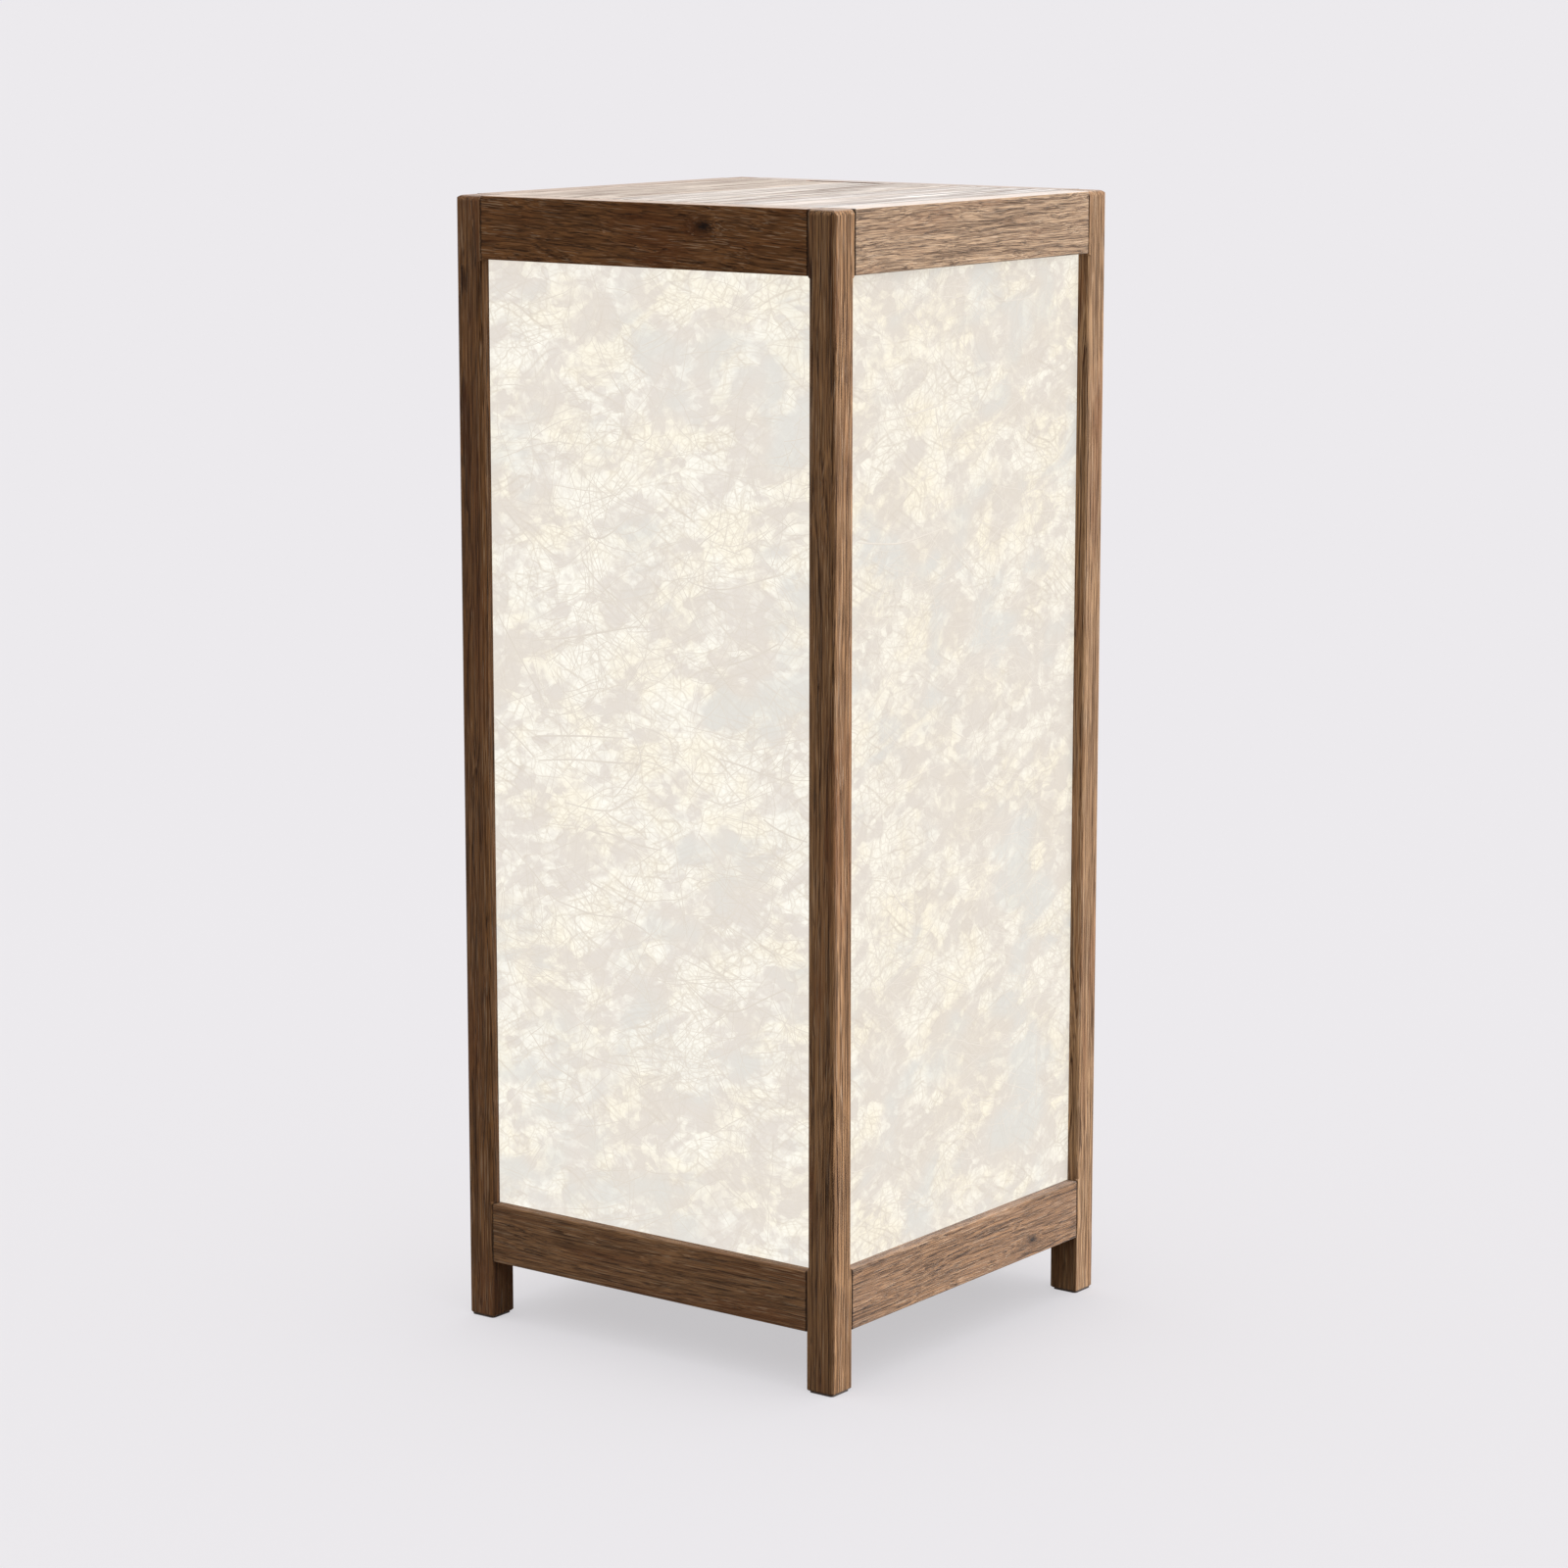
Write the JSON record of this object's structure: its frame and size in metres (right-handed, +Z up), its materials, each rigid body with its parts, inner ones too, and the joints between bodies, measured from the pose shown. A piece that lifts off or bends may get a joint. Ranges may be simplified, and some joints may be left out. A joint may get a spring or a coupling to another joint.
{
  "type": "floor lamp",
  "caption": "Square floor lantern: oak post-and-rail frame, recessed washi panels lit from inside, a flush lift-off wooden lid and short legs.",
  "frame": {"origin": "on the floor, under the centre of the lamp", "axes": "+Z up; the front looks along -Y and the right side along +X"},
  "size_m": [0.38, 0.38, 0.94],
  "materials": {
    "frame_oak": "weathered brown oak, open grain, matt oil",
    "lid_oak": "the same oak, flat-sawn boards",
    "inner_wood": "plain sanded softwood strips",
    "base_board_wood": "sanded plywood",
    "washi": "fibrous handmade washi, lit from behind",
    "acrylic": "clear cast acrylic",
    "glide_nylon": "dark brown nylon",
    "zinc_screws": "zinc plated",
    "channel_steel": "white stoved enamel",
    "switch_plastic": "black nylon",
    "rocker_plastic": "gloss black",
    "brass_contacts": "plain brass",
    "bush_nylon": "black nylon",
    "pipe_steel": "zinc plated",
    "flange_brass": "turned, satin",
    "lead_sheath": "white PVC",
    "holder_phenolic": "black phenolic",
    "holder_porcelain": "white porcelain",
    "bulb_cap_metal": "nickel-plated brass",
    "bulb_insulator_glass": "black glass",
    "bulb_button_metal": "tinned",
    "bulb_collar_plastic": "white",
    "bulb_opal": "opal polycarbonate, lit"
  },
  "bodies": {
    "frame": {"acrylic_pane_back": "acrylic", "acrylic_pane_front": "acrylic", "acrylic_pane_left": "acrylic", "acrylic_pane_right": "acrylic", "base_board": "base_board_wood", "base_board_screws": "zinc_screws", "base_ledgers_long": "inner_wood", "base_ledgers_short": "inner_wood", "bottom_rail_back": "frame_oak", "bottom_rail_front": "frame_oak", "bottom_rail_left": "frame_oak", "bottom_rail_right": "frame_oak", "bulb_button": "bulb_button_metal", "bulb_cap": "bulb_cap_metal", "bulb_collar": "bulb_collar_plastic", "bulb_globe": "bulb_opal", "bulb_insulator": "bulb_insulator_glass", "channel_screws": "zinc_screws", "cord_bush": "bush_nylon", "flange_screws": "zinc_screws", "foot_glides": "glide_nylon", "glazing_beads_back": "inner_wood", "glazing_beads_front": "inner_wood", "glazing_beads_left": "inner_wood", "glazing_beads_right": "inner_wood", "holder_cap": "holder_phenolic", "holder_contact": "brass_contacts", "holder_core": "holder_porcelain", "holder_screw_shell": "brass_contacts", "holder_skirt": "holder_phenolic", "lamp_lead": "lead_sheath", "lamp_pipe": "pipe_steel", "lid_ledgers_long": "inner_wood", "lid_ledgers_short": "inner_wood", "pipe_flange": "flange_brass", "pipe_nuts": "pipe_steel", "pipe_washer": "pipe_steel", "post_back_left": "frame_oak", "post_back_right": "frame_oak", "post_front_left": "frame_oak", "post_front_right": "frame_oak", "switch_housing": "switch_plastic", "switch_terminals": "brass_contacts", "top_rail_back": "frame_oak", "top_rail_front": "frame_oak", "top_rail_left": "frame_oak", "top_rail_right": "frame_oak", "washi_back": "washi", "washi_front": "washi", "washi_left": "washi", "washi_right": "washi", "wiring_channel": "channel_steel"},
    "lid": {"lid_batten_back": "inner_wood", "lid_batten_front": "inner_wood", "lid_batten_screws": "zinc_screws", "lid_board_centre": "lid_oak", "lid_board_left": "lid_oak", "lid_board_right": "lid_oak"},
    "rocker": {"switch_rocker": "rocker_plastic"}
  },
  "joints": [
    {"name": "lid_lift", "type": "slide", "parent": "frame", "child": "lid", "axis": [0, 0, 1], "range_m": [0, 0.1]},
    {"name": "rocker_tilt", "type": "hinge", "parent": "frame", "child": "rocker", "pos_m": [0, -0.124, 0.0588], "axis": [0, 1, 0], "range_deg": [0, 16]}
  ]
}
